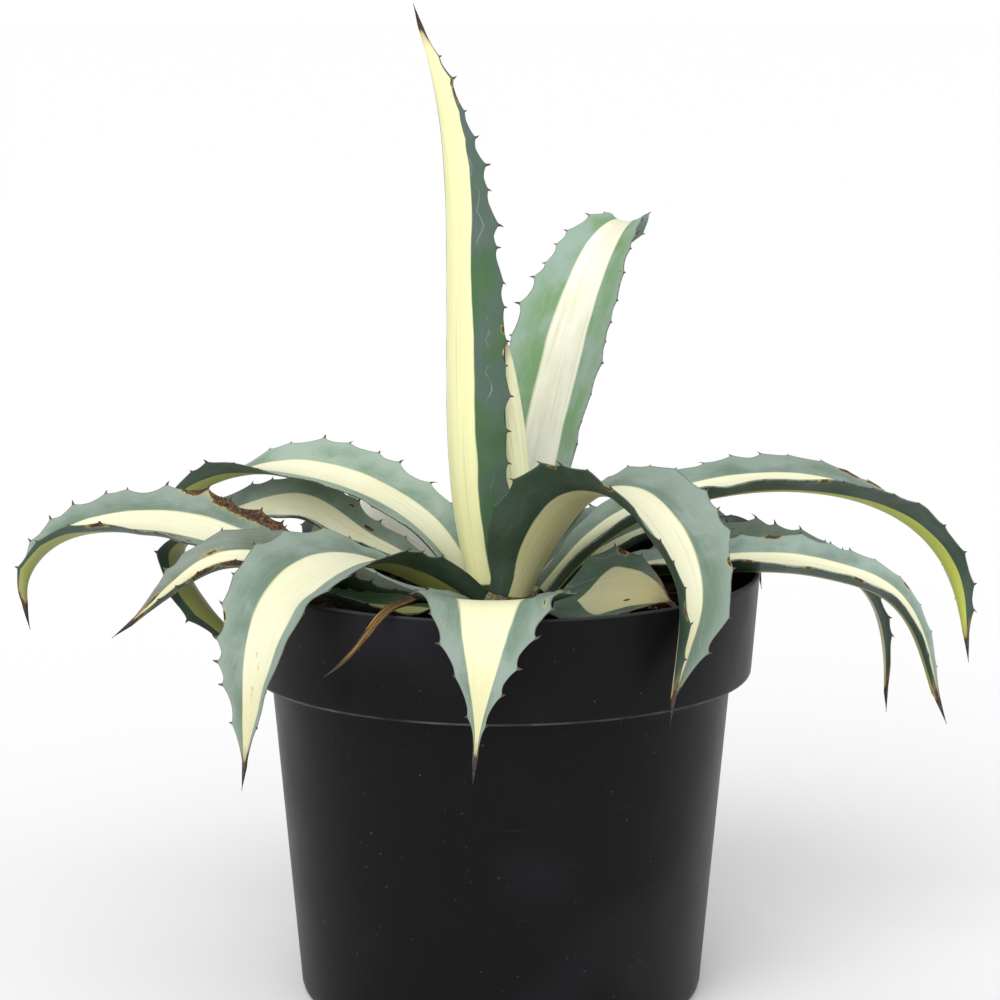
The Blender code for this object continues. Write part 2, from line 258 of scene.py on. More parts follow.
lip = WALL / 2
ledge = SHOULDER + WALL
pot_profile = np.concatenate([
    straight((0, WALL), (wall_radius(WALL, WALL) - FLOOR_FILLET, WALL), 14),
    arc(wall_radius(WALL, WALL) - FLOOR_FILLET, WALL + FLOOR_FILLET, FLOOR_FILLET, -90, 0, 4),
    straight((wall_radius(8, WALL), 8), (wall_radius(SHOULDER, WALL), SHOULDER), 30),
    straight((wall_radius(SHOULDER, WALL) + 1, ledge), (band_radius(SHOULDER, WALL), ledge), 3),
    straight((band_radius(SHOULDER + 4, WALL), SHOULDER + 4),
             (band_radius(POT_HEIGHT - 3, WALL), POT_HEIGHT - 3), 12),
    arc(RIM_RADIUS - lip, POT_HEIGHT - lip, lip, 180, 0, 9),
    straight((band_radius(POT_HEIGHT - 3), POT_HEIGHT - 3), (band_radius(SHOULDER + 3), SHOULDER + 3), 12),
    arc(BAND_FOOT_RADIUS - BAND_FILLET, SHOULDER + BAND_FILLET, BAND_FILLET, 0, -90, 6),
    straight((NECK_RADIUS + 1.6, SHOULDER), (NECK_RADIUS + 0.8, SHOULDER - 0.3), 2),
    straight((wall_radius(SHOULDER - 1.5), SHOULDER - 1.5), (wall_radius(5), 5), 34),
    arc(BASE_RADIUS - FOOT_FILLET, FOOT_FILLET, FOOT_FILLET, -5, -90, 6),
    straight((BASE_RADIUS - 8, 0), (0, 0), 12)])

pot_plastic, graph, shader = new_material("black_polypropylene", Roughness=0.36, Specular_IOR_Level=0.11)
spot = graph.on_object()
parts = graph.node("ShaderNodeSeparateXYZ", {0: spot})
height = parts.outputs["Z"]
smudge = graph.noise(spot, 22.0, 5.0, 0.6, 0.6)
grit = graph.noise(spot, 900.0, 2.0, 0.5)
speck = graph.fade(graph.noise(spot, 520.0, 1.0, 0.4), 0.77, 0.83)
scuff = graph.fade(graph.noise(graph.stretched(spot, (60, 60, 900)), 1.0, 3.0, 0.6, 0.3), 0.66, 0.80)
# A thin lighter line along the foot of the band, broken up by the smudge noise, and a lighter top on the
# lip.
edge = graph.math("ABSOLUTE", graph.minus(height, (SHOULDER + 0.5) * MM))
band_foot_line = graph.times(graph.fade(edge, 0.0011, 0.0005), graph.fade(smudge, 0.35, 0.75))
lighter_lip_top = graph.times(graph.fade(height, 0.2155, 0.2168), 0.35)
base = graph.mix(graph.times(smudge, 0.5), (0.0026, 0.0027, 0.0033, 1), (0.0065, 0.0067, 0.0078, 1))
# Painted reflection: soft, slightly blue, lighter patches on the black plastic stand for the sky mirrored in
# it.
painted_reflection = graph.fade(graph.noise(spot, 9.0, 2.0, 0.5), 0.52, 0.74)
base = graph.mix(graph.times(painted_reflection, 0.6), base, (0.017, 0.017, 0.020, 1))
base = graph.mix(graph.times(scuff, 0.12), base, (0.10, 0.10, 0.10, 1))
base = graph.mix(graph.times(speck, 0.35), base, (0.16, 0.155, 0.15, 1))
base = graph.mix(graph.math("ADD", band_foot_line, lighter_lip_top, True), base, (0.09, 0.09, 0.095, 1))
graph.feed(shader.inputs["Base Color"], base)
rough = graph.plus(0.28, graph.times(smudge, 0.22))
graph.feed(shader.inputs["Roughness"], graph.plus(rough, graph.times(scuff, 0.15)))
seam_angle = graph.math("ARCTAN2", parts.outputs["Y"], parts.outputs["X"])
seam = graph.fade(graph.math("ABSOLUTE", graph.plus(seam_angle, 1.36)), 0.006, 0.0)
relief = graph.plus(graph.times(grit, 0.25), graph.times(seam, 0.8))
relief = graph.plus(relief, graph.times(smudge, 1.5))
graph.feed(shader.inputs["Normal"], graph.bump(relief, 0.35, 0.0004))

pot = new_piece("nursery_pot", *turned(pot_profile, 288), pot_plastic)
drills = []
for step in range(DRAIN_HOLES):
    around = 2 * math.pi / DRAIN_HOLES * step
    drill_profile = np.concatenate([straight((0, 6), (DRAIN_HOLE_RADIUS, 6), 2),
                                    straight((DRAIN_HOLE_RADIUS, -4), (0, -4), 2)])
    verts, quads, triangles = turned(drill_profile, 32)
    verts = verts + (DRAIN_CIRCLE_RADIUS * math.cos(around), DRAIN_CIRCLE_RADIUS * math.sin(around), 0)
    drills.append(new_piece("drill", verts, quads, triangles))
for drill in drills:
    cut = pot.modifiers.new("drain_hole", "BOOLEAN")
    cut.object = drill
    cut.solver = "EXACT"
drilled = bpy.data.meshes.new_from_object(pot.evaluated_get(bpy.context.evaluated_depsgraph_get()))
pot.modifiers.clear()
pot.data = drilled
for drill in drills:
    bpy.data.objects.remove(drill, do_unlink=True)
pot.data.shade_smooth()
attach(pot, "root")
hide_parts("pot")


# ---------------------------------------------------------------------------------------------
# Potting mix: moist peat and fine bark, filled to 25 mm below the rim. Its surface is crumbly,
# with bark flakes and white perlite lying loose on it.

MIX_TOP = 192.0
MIX_RADIUS = band_radius(MIX_TOP, WALL + 0.3)


def waves(x, y, length, seed, count=14):
    """Soft irregular relief between about -1 and 1: a sum of sine waves that run in random
    directions, with wavelengths around `length`."""
    rng = np.random.default_rng(seed)
    total = np.zeros(np.broadcast(x, y).shape)
    for _ in range(count):
        way = rng.uniform(0, 2 * np.pi)
        stretch = 2 * np.pi / (length * rng.uniform(0.6, 1.6))
        total = total + np.sin(stretch * (x * np.cos(way) + y * np.sin(way)) + rng.uniform(0, 2 * np.pi))
    return total / math.sqrt(count)


def mix_height(x, y):
    """Height of the mix above its level: low mounds, clods and crumbs, lower at the wall."""
    radius = np.hypot(x, y)
    bumps = 1.1 * waves(x, y, 46, 3) + 0.75 * waves(x, y, 14, 4) + 0.45 * waves(x, y, 5, 5)
    return bumps + 2.0 * np.exp(-((radius - 20) / 22) ** 2) - 1.2 * np.exp((radius - MIX_RADIUS) / 5)


peat, graph, shader = new_material("peat_and_bark", Roughness=0.95, Specular_IOR_Level=0.2)
spot = graph.on_object()
clods = graph.noise(spot, 160.0, 6.0, 0.7)
fibres = graph.noise(graph.stretched(spot, (900, 220, 400), (0, 0, 0.7)), 1.0, 3.0, 0.6, 1.2)
base = graph.mix(graph.fade(clods, 0.35, 0.68), (0.012, 0.008, 0.006, 1), (0.085, 0.050, 0.028, 1))
base = graph.mix(graph.fade(fibres, 0.62, 0.74), base, (0.20, 0.13, 0.07, 1))
graph.feed(shader.inputs["Base Color"], base)
graph.feed(shader.inputs["Normal"], graph.bump(graph.plus(clods, graph.times(fibres, 0.5)),
                                               0.9, 0.0016))

mix_profile = np.concatenate([
    straight((0, MIX_TOP), (MIX_RADIUS, MIX_TOP), 90),
    straight((band_radius(SHOULDER + WALL + 1, WALL + 0.3), SHOULDER + WALL + 0.3),
             (wall_radius(SHOULDER, WALL + 0.3), SHOULDER + WALL + 0.3), 2),
    straight((wall_radius(3, WALL + 0.3), 2.7), (0, 2.7), 8)])
verts, quads, triangles = turned(mix_profile, 240)
loose = verts[:, 2] > MIX_TOP - 0.01
verts[loose, 2] = verts[loose, 2] + mix_height(verts[loose, 0], verts[loose, 1])
potting_mix = new_piece("peat_mix", verts, quads, triangles, peat)
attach(potting_mix, "root")
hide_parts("potting_mix")


def turning(angles):
    """Rotation matrices for rows of three angles, about X, then Y, then Z."""
    (ca, cb, cc), (sa, sb, sc) = np.cos(angles).T, np.sin(angles).T
    rows = [[cc * cb, cc * sb * sa - sc * ca, cc * sb * ca + sc * sa],
            [sc * cb, sc * sb * sa + cc * ca, sc * sb * ca - cc * sa],
            [-sb, cb * sa, cb * ca]]
    return np.stack([np.stack(row, -1) for row in rows], -2)


def scattered(count, longest, flatness, seed, tilt, lift):
    """Loose bits on the mix: each is a squarish lump of two rings of six points and two poles,
    with uneven radii, scaled, tilted and set on the surface. Points, quads and triangles."""
    rng = np.random.default_rng(seed)
    angle = np.arange(6) * np.pi / 3
    ring = np.stack([np.cos(angle), np.sin(angle)], 1)
    shape = np.concatenate([[(0, 0, 0.5)], np.c_[ring * 0.42, np.full(6, 0.36)],
                            np.c_[ring * 0.5, np.full(6, -0.36)], [(0, 0, -0.5)]])
    bits = shape[None] * (1 + rng.uniform(-0.28, 0.28, (count, len(shape), 1)))
    long_side = rng.uniform(0.35, 1.0, count) ** 1.5 * longest
    scale = np.stack([long_side, long_side * rng.uniform(0.35, 0.7, count), long_side * flatness], 1)
    turn = turning(np.stack([rng.normal(0, tilt, count), rng.normal(0, tilt, count),
                             rng.uniform(0, 2 * np.pi, count)], 1))
    bits = np.einsum("nij,nkj->nki", turn, bits * scale[:, None])
    radius = np.sqrt(rng.uniform(0.04, 1, count)) * (MIX_RADIUS - 5)
    around = rng.uniform(0, 2 * np.pi, count)
    x, y = radius * np.cos(around), radius * np.sin(around)
    bits = bits + np.stack([x, y, MIX_TOP + mix_height(x, y) + lift], 1)[:, None]
    j = np.arange(6)
    k = (j + 1) % 6
    quads = np.stack([1 + j, 7 + j, 7 + k, 1 + k], 1)
    pole = len(shape) - 1
    caps = np.concatenate([np.stack([j * 0, 1 + j, 1 + k], 1), np.stack([j * 0 + pole, 7 + k, 7 + j], 1)])
    first = (np.arange(count) * len(shape))[:, None, None]
    return bits.reshape(-1, 3), (quads[None] + first).reshape(-1, 4), (caps[None] + first).reshape(-1, 3)


bark, graph, shader = new_material("bark_flakes", Roughness=0.85, Specular_IOR_Level=0.25)
spot = graph.on_object()
tone = graph.noise(spot, 70.0, 1.0)
grain = graph.noise(graph.stretched(spot, (300, 1500, 1500)), 1.0, 3.0, 0.6)
base = graph.mix(graph.fade(tone, 0.35, 0.65), (0.035, 0.020, 0.013, 1), (0.17, 0.095, 0.048, 1))
base = graph.mix(graph.times(grain, 0.6), base, (0.015, 0.010, 0.008, 1))
graph.feed(shader.inputs["Base Color"], base)
graph.feed(shader.inputs["Normal"], graph.bump(grain, 0.7, 0.0006))
flake_mesh = scattered(1500, longest=11, flatness=0.16, seed=11, tilt=0.25, lift=0.4)
flakes = new_piece("bark_flakes", *flake_mesh, bark)
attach(flakes, "root")

perlite_white, graph, shader = new_material("perlite", Base_Color=(0.62, 0.60, 0.55, 1), Roughness=0.9)
spot = graph.on_object()
graph.feed(shader.inputs["Normal"], graph.bump(graph.noise(spot, 1400.0, 3.0), 0.8, 0.0004))
perlite_mesh = scattered(170, longest=3.2, flatness=0.75, seed=12, tilt=0.5, lift=0.5)
perlite = new_piece("perlite", *perlite_mesh, perlite_white)
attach(perlite, "root")


# ---------------------------------------------------------------------------------------------
# Stem: a squat, fibrous stump that the leaves spring from in a spiral. Old leaf scars run round
# it as low ridges. Almost all of it is hidden by the leaf bases.

STEM_RADIUS = 27.0

stem_husk, graph, shader = new_material("stem_husk", Roughness=0.8, Specular_IOR_Level=0.3)
spot = graph.on_object()
threads = graph.noise(graph.stretched(spot, (900, 900, 120)), 1.0, 4.0, 0.6)
base = graph.mix(graph.fade(threads, 0.35, 0.7), (0.12, 0.085, 0.045, 1), (0.44, 0.40, 0.24, 1))
graph.feed(shader.inputs["Base Color"], base)
graph.feed(shader.inputs["Normal"], graph.bump(threads, 0.8, 0.0008))
stem_profile = np.concatenate([
    straight((0, 208.5), (10, 208.4), 6), straight((11, 208.1), (22, 200), 10),
    straight((22.6, 199.4), (STEM_RADIUS, 194), 8),
    straight((STEM_RADIUS, 193.5), (STEM_RADIUS, 181.5), 8),
    straight((STEM_RADIUS - 1, 179.5), (0, 178.5), 4)])
verts, quads, triangles = turned(stem_profile, 96)
angle = np.arctan2(verts[:, 1], verts[:, 0])
scar = np.abs(np.sin(2.5 * angle + verts[:, 2] * 0.9))
swell = 1 - 0.03 * (1 - scar) ** 3 * (verts[:, 2] > 185)
verts[:, :2] = verts[:, :2] * swell[:, None]
stem = new_piece("stem_stump", verts, quads, triangles, stem_husk)
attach(stem, "root")
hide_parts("stem")


# ---------------------------------------------------------------------------------------------
# Leaves: each is one thick, stiff, waxy blade, guttered along its midrib, with a cream stripe
# down the middle and grey-green margins. Horny hooked teeth stand on little humps along the
# margins, and the blade ends in a hard dark spine.

SPINE_LENGTH = 13.0
SPINE_WIDTH = 2.4
WIDEST_KEEL = 0.9
KEEL_TO_MARGIN = 0.8
KEEL_ROUNDING = 1.3
CROWDING = 0.86
RIPPLE_LENGTH = 26
RIPPLE_HEIGHT = 0.9
HUMP_HEIGHT = 3.1
FLANK_TO_STEM = 2.6
FLANK_TO_TIP = 3.6
TOOTH_POINTS = 25
PATCH_NARROWNESS = 0.45
CREAM = (0.85, 0.84, 0.61, 1)
LEMON = (0.86, 0.85, 0.44, 1)
GLAUCOUS = (0.245, 0.315, 0.265, 1)
FRESH = (0.135, 0.200, 0.145, 1)


class Leaf(NamedTuple):
    """One leaf. `facing` is the compass angle that it leans to, from +X towards +Y, `width` is
    its greatest width and `midrib` is a smooth curve's points, from the stem to the spine's tip.
    Given at the base, the middle and the tip are `fold`, half the angle of the arc across it in
    radians, `roll`, its turn about the midrib in degrees, and `thick`, its thickness at the keel.
    `base` and `neck` are its width at the stem and just above, as shares of the greatest, `taper`
    and `point` shape how it narrows to the spine, and `flare` opens the arc near the margins.
    The rest is its look: the `stripe`'s share of the width and its `shift` off the midrib, each at
    the base, the middle and the tip, the colours of the stripe, of the `margin` near the edge and
    of the `inner` margin near the stripe, above and on the back, how clear the `prints` and how
    tall the `teeth` are, and `damage`: dry patches given as (share along, place across, length,
    strength)."""
    name: str
    facing: float
    width: float
    midrib: list
    fold: tuple = (1.0, 0.5, 0.5)
    roll: tuple = (0, 0, 0)
    thick: tuple = (5.0, 3.0, 1.8)
    base: float = 0.3
    neck: float = 0.6
    taper: float = 3.0
    point: float = 1.0
    flare: float = 0.0
    stripe: tuple = (0.42, 0.40, 0.48)
    shift: tuple = (0, 0, 0)
    stripe_colour: tuple = CREAM
    margin: tuple = GLAUCOUS
    inner: tuple = FRESH
    back: tuple = (0.050, 0.082, 0.062, 1)
    back_inner: tuple = (0.030, 0.062, 0.036, 1)
    back_stripe: tuple = (0.32, 0.34, 0.10, 1)
    prints: float = 0.3
    teeth: float = 1.0
    damage: Sequence = ()


LEAVES = [
    Leaf("leaf_spear", 220, 54, fold=(1.2, 1.2, 0.9), base=0.75, neck=0.85, point=1.1,
         midrib=[(-10, -8, 211), (-17, -13, 252), (-20, -18, 304), (-21, -22, 380), (-28, -26, 450),
                 (-42, -29, 497)],
         stripe=(0.42, 0.40, 0.62), shift=(0, 0, 0.34), stripe_colour=LEMON, margin=(0.10, 0.165, 0.125, 1),
         inner=(0.07, 0.15, 0.07, 1), back=(0.072, 0.115, 0.092, 1), back_inner=(0.048, 0.120, 0.044, 1),
         back_stripe=(0.84, 0.83, 0.45, 1), prints=1.0,
         damage=[(0.84, 0.96, 4.0, 1.1), (0.86, 0.88, 2.6, 0.9), (0.45, 0.97, 3.0, 0.7)]),
    Leaf("leaf_upright", 52, 66, fold=(0.8, 0.5, 0.6), neck=0.8, taper=3.6,
         midrib=[(9, 18, 209), (19, 32, 262), (32, 54, 318), (47, 80, 360), (60, 105, 379),
                 (67, 121, 381), (64, 133, 369), (55, 139, 350)],
         stripe_colour=(0.94, 0.94, 0.80, 1), margin=(0.30, 0.41, 0.34, 1), inner=(0.17, 0.32, 0.13, 1),
         back=(0.20, 0.28, 0.23, 1), back_inner=(0.14, 0.22, 0.15, 1), back_stripe=(0.60, 0.60, 0.36, 1),
         prints=0.8,
         damage=[(0.62, -0.9, 2.0, 0.8), (0.30, 0.92, 2.5, 0.7)]),
    Leaf("leaf_front_right", -46, 80, fold=(0.8, 0.65, 1.0), roll=(0, -8, -28), base=0.42, neck=0.78,
         taper=3.6,
         midrib=[(8, -15, 207), (20, -27, 237), (40, -45, 262), (61, -64, 264), (77, -82, 251),
                 (88, -97, 226), (85, -110, 199), (79, -119, 164)],
         back_stripe=(0.72, 0.68, 0.38, 1),
         damage=[(0.50, -0.96, 3.5, 0.9), (0.66, 0.97, 3.0, 0.8), (0.78, -0.95, 4.0, 0.8),
                 (0.36, -0.97, 2.5, 0.8)]),
    Leaf("leaf_upper_left", 158, 48, fold=(1.0, 0.8, 0.9), roll=(-20, -17, 40), base=0.5, neck=0.72,
         taper=4.5, flare=0.5,
         midrib=[(-15, 8, 207), (-34, 17, 231), (-62, 32, 249), (-104, 48, 259), (-140, 60, 255),
                 (-168, 66, 241), (-184, 68, 222)],
         margin=(0.34, 0.44, 0.35, 1), inner=(0.19, 0.28, 0.20, 1)),
    Leaf("leaf_upper_right", 12, 48, fold=(1.0, 1.0, 0.9), roll=(5, 7, -30), thick=(6.0, 6.0, 2.6),
         base=0.4, neck=0.72, taper=3.6, flare=0.75,
         midrib=[(21, 3, 204), (50, 10, 233), (99, 24, 252), (150, 32, 256), (202, 42, 241),
                 (234, 47, 208), (244, 48, 157)],
         # Painted light: a brighter yellow back stripe than the other leaves have, for light shining through
         # the stripe from behind.
         back_stripe=(0.46, 0.50, 0.09, 1),
         damage=[(0.60, 0.95, 7.0, 1.0), (0.645, 0.90, 5.0, 0.9), (0.52, -0.96, 4.0, 0.8),
                 (0.74, 0.97, 5.0, 0.9)]),
    Leaf("leaf_front_left", 221, 76, fold=(1.0, 0.4, 0.5), roll=(15, -8, 0), base=0.36, neck=0.48,
         taper=2.6,
         midrib=[(-17, -17, 202), (-32, -31, 215), (-65, -58, 232), (-87, -78, 233), (-104, -95, 222),
                 (-113, -107, 203), (-117, -112, 180), (-122, -115, 132)],
         stripe=(0.42, 0.50, 0.56), shift=(0, 0.16, 0.12), stripe_colour=(0.78, 0.775, 0.56, 1),
         damage=[(0.71, 0.02, 3.4, 0.48), (0.735, 0.14, 3.0, 0.50), (0.76, -0.04, 2.4, 0.44),
                 (0.79, 0.06, 8.0, 0.36), (0.56, -0.55, 1.6, 0.5), (0.64, -0.98, 3.0, 0.8)]),
    Leaf("leaf_curled_left", 154, 50, roll=(-10, -20, 0), base=0.3, neck=0.4, taper=4.0,
         midrib=[(-22, 10, 202.5), (-45, 22, 214.5), (-80, 39, 229.5), (-105, 48.5, 240),
                 (-142, 57, 231), (-168, 60, 215), (-163, 58, 194), (-143, 55, 171), (-120, 52, 149)],
         stripe=(0.42, 0.60, 0.72), shift=(0, 0.10, 0),
         damage=[(0.24, -0.62, 3.6, 1.3), (0.30, -0.80, 2.2, 0.9), (0.62, -0.95, 4.0, 0.9)]),
    Leaf("leaf_back_right", 31, 40, base=0.35,
         midrib=[(25, 15, 202), (52, 32, 218), (90, 54, 230), (118, 68, 229), (133, 76, 215),
                 (138, 78, 190)],
         margin=(0.10, 0.13, 0.11, 1), inner=(0.06, 0.09, 0.06, 1),
         damage=[(0.55, -0.8, 12.0, 1.1), (0.66, 0.0, 14.0, 1.2), (0.60, 0.9, 12.0, 1.0),
                 (0.80, -0.3, 12.0, 0.9)]),
    Leaf("leaf_back_left", 128, 48, roll=(-15, -25, 0), base=0.28, neck=0.65,
         midrib=[(-16, 22, 203), (-33, 44, 211), (-53, 66, 221), (-71, 88, 227), (-90, 109, 226),
                 (-101, 126, 209), (-105, 134, 178)],
         stripe=(0.50, 0.60, 0.50), stripe_colour=(0.93, 0.93, 0.84, 1)),
    Leaf("leaf_rear_left", 106, 44,
         midrib=[(-4, 31, 199), (-12, 53, 205), (-25, 90, 218), (-36, 126, 225), (-44, 152, 208),
                 (-48, 162, 174)]),
    Leaf("leaf_rear_right", 57, 42,
         midrib=[(16, 27, 199), (28, 48, 207), (50, 80, 219), (72, 108, 224), (86, 128, 206),
                 (92, 136, 174)]),
    Leaf("leaf_outer_left", 175, 50, fold=(1.0, 0.6, 1.2), roll=(0, -22, 0), thick=(5.0, 4.0, 2.2),
         neck=0.5, taper=4.5,
         midrib=[(-31, 3, 198.5), (-76, 8, 207.5), (-105, 11, 216), (-127, 13, 225), (-157, 16, 234),
                 (-192, 16, 237), (-226, 14, 228), (-242, 11, 207), (-239, 8, 183)],
         stripe=(0.42, 0.45, 0.70), shift=(0, 0, 0.22),
         damage=[(0.26, -1.0, 9.0, 1.2), (0.33, -1.0, 13.0, 1.35), (0.40, -1.0, 14.0, 1.35),
                 (0.47, -1.0, 11.0, 1.2), (0.53, -1.0, 7.0, 1.0), (0.34, -0.75, 9.0, 0.8),
                 (0.55, 0.66, 3.5, 0.95), (0.51, 0.72, 3.0, 0.85), (0.58, 0.60, 2.5, 0.8),
                 (0.70, 0.96, 6.0, 0.8)]),
    Leaf("leaf_rear", 80, 46, base=0.35,
         midrib=[(5, 26, 203), (10, 46, 222), (18, 90, 236), (26, 128, 235), (32, 152, 216),
                 (35, 162, 182)]),
    Leaf("leaf_lower_right", -6, 46, fold=(1.0, 1.1, 1.2), roll=(5, 11, 12), thick=(5.5, 5.0, 3.0),
         flare=0.75,
         midrib=[(30, -8, 199), (60, -8, 215), (90, -11, 221), (117, -14, 222.5), (147, -16, 222),
                 (169, -18, 218), (190, -19, 210), (205, -20, 194), (216, -21, 164), (223, -21, 141)],
         stripe=(0.42, 0.42, 0.55), margin=(0.31, 0.40, 0.35, 1), inner=(0.17, 0.24, 0.19, 1),
         damage=[(0.45, 0.97, 5.0, 0.9), (0.40, -0.96, 3.0, 0.8), (0.62, -0.97, 3.5, 0.9),
                 (0.72, 0.95, 3.0, 0.8), (0.52, -0.97, 2.5, 0.9)]),
    Leaf("leaf_front", -92, 110, fold=(0.8, 0.2, 0.5), base=0.25, neck=0.42, taper=2.4, point=1.9,
         midrib=[(0, -30, 199), (-2, -74, 212), (-4, -110, 221), (-6, -135, 225), (-8, -148, 208),
                 (-10, -151, 180), (-13, -149, 144)],
         stripe=(0.42, 0.48, 0.60), stripe_colour=(0.76, 0.75, 0.49, 1),
         damage=[(0.905, 0.12, 6.0, 0.55), (0.93, 0.05, 5.0, 0.9), (0.56, 0.9, 3.0, 0.7),
                 (0.49, -0.9, 4.0, 0.8), (0.62, -0.86, 3.0, 0.6)]),
    Leaf("leaf_small_left", 199, 54, fold=(1.0, 0.9, 0.8), roll=(0, -18, -10), neck=0.5, taper=2.4,
         midrib=[(-31, -14, 199), (-72, -31, 213), (-112, -45, 228), (-138, -50, 229), (-163, -54, 214),
                 (-189, -58, 193)],
         margin=(0.20, 0.24, 0.20, 1), inner=(0.12, 0.15, 0.10, 1),
         damage=[(0.50, 0.95, 7.0, 1.0), (0.60, 0.92, 9.0, 1.1), (0.70, 0.90, 8.0, 1.0),
                 (0.80, 0.60, 7.0, 0.9), (0.62, 0.42, 8.0, 0.6), (0.74, 0.30, 8.0, 0.7),
                 (0.86, -0.50, 7.0, 0.9), (0.66, -0.50, 7.0, 0.55)]),
    Leaf("leaf_behind_right", 15, 38, roll=(10, 15, 15), base=0.35, taper=5.0,
         midrib=[(34, 5.5, 197.5), (60, 13, 206), (90, 24, 217), (128, 38, 221), (165, 48, 212),
                 (190, 53, 196), (200, 56, 174), (203, 57, 150), (203, 58, 128)],
         back_stripe=(0.62, 0.62, 0.34, 1),
         damage=[(0.80, 0.9, 4.0, 0.9)]),
    # Painted shade: this leaf's stripe and margins are painted much darker than the other leaves', for the
    # shade it lies in low among the leaves inside the rim.
    Leaf("leaf_tucked", -38, 58, fold=(1.0, 0.4, 0.5), roll=(15, 45, 30),
         midrib=[(24, -22, 199), (45, -43, 211), (66, -59, 216), (82, -67, 212), (90, -70, 204)],
         stripe=(-0.5, 0.60, 0.80), stripe_colour=(0.45, 0.44, 0.30, 1), margin=(0.075, 0.115, 0.09, 1),
         inner=(0.05, 0.085, 0.06, 1),
         damage=[(0.62, -0.30, 2.2, 1.1), (0.5, 0.95, 4.0, 0.9)]),
    Leaf("leaf_low_left", 223, 38, fold=(1.0, 0.4, 0.6), roll=(-10, -10, 0), base=0.35,
         midrib=[(-24, -28, 199), (-44, -46, 204), (-68, -67, 211), (-90, -83, 221.5), (-99, -90, 221),
                 (-105, -95, 211)],
         stripe_colour=(0.55, 0.55, 0.20, 1), margin=(0.07, 0.12, 0.07, 1), inner=(0.05, 0.11, 0.04, 1)),
]


def smooth_step(low, high, x):
    """0 below `low`, 1 above `high`, and smooth between."""
    t = np.clip((x - low) / (high - low), 0, 1)
    return t * t * (3 - 2 * t)


def along(values, s):
    """Blend base, middle and tip values along the leaf."""
    base, middle, tip = values
    first = base + (middle - base) * smooth_step(0, 0.5, s)
    return first + (tip - middle) * smooth_step(0.5, 1, s)


def midrib_curve(points, stations):
    """Natural cubic spline through the points, with knots at the chord lengths to the power 0.75,
    sampled at equal lengths. Gives the places and the length."""
    p = np.array(points, float)
    count = len(p)
    knots = np.concatenate([[0], np.cumsum(np.linalg.norm(np.diff(p, axis=0), axis=1) ** 0.75)])
    h = np.diff(knots)
    system = np.eye(count)
    right = np.zeros((count, 3))
    for i in range(1, count - 1):
        system[i, i - 1:i + 2] = [h[i - 1], 2 * (h[i - 1] + h[i]), h[i]]
        right[i] = 6 * ((p[i + 1] - p[i]) / h[i] - (p[i] - p[i - 1]) / h[i - 1])
    bend = np.linalg.solve(system, right)
    x = np.linspace(0, knots[-1], 1600)
    k = np.clip(np.searchsorted(knots, x, side="right") - 1, 0, count - 2)
    u = (x - knots[k])[:, None]
    step = h[k][:, None]
    slope = (p[k + 1] - p[k]) / step - step * (2 * bend[k] + bend[k + 1]) / 6
    fine = p[k] + u * slope + u ** 2 * bend[k] / 2 + u ** 3 * (bend[k + 1] - bend[k]) / (6 * step)
    travelled = np.concatenate([[0], np.cumsum(np.linalg.norm(np.diff(fine, axis=0), axis=1))])
    wanted = np.linspace(0, travelled[-1], stations)
    return np.stack([np.interp(wanted, travelled, fine[:, axis]) for axis in range(3)], 1), travelled[-1]


def leaf_width(leaf, s, length):
    """Clasping base, neck, widest near the middle, then the taper into the round spine."""
    spine_start = 1 - SPINE_LENGTH / length
    x = np.clip(s / spine_start, 0, 1)
    share = leaf.neck + (1 - leaf.neck) * smooth_step(0.12, 0.55, x)
    share = share + (leaf.base - leaf.neck) * (1 - smooth_step(0, 0.2, x))
    blade = leaf.width * share * (1 - x ** leaf.taper) ** leaf.point
    spine = SPINE_WIDTH * np.clip((1 - s) / (1 - spine_start), 0.12, 1)
    return np.sqrt(blade ** 2 + spine ** 2)


def tooth_places(length, rng):
    """Where the teeth of one margin stand, in millimetres from the stem, and how tall each one's
    hump is: 10 to 18.5 mm apart, small near the base and near the tip."""
    gaps = rng.uniform(10.0, 18.5, 60)
    places = 0.10 * length + np.cumsum(gaps)
    places = places[places < length - SPINE_LENGTH - 14]
    share = places / length
    size = rng.uniform(0.4, 1.25, len(places)) * smooth_step(0.02, 0.35, share)
    return places, size * (0.35 + 0.65 * (1 - smooth_step(0.7, 1.0, share)))


def margin_humps(distance, places, sizes):
    """How far the margin stands out, in millimetres: a pointed hump with hollow flanks under each
    tooth, height times exp(-distance / flank), the flank longer on the tip's side."""
    gap = distance[:, None] - places[None]
    flank = np.where(gap < 0, FLANK_TO_STEM, FLANK_TO_TIP)
    return (HUMP_HEIGHT * sizes * np.exp(-np.sqrt(gap ** 2 + 0.16) / flank)).max(axis=1)


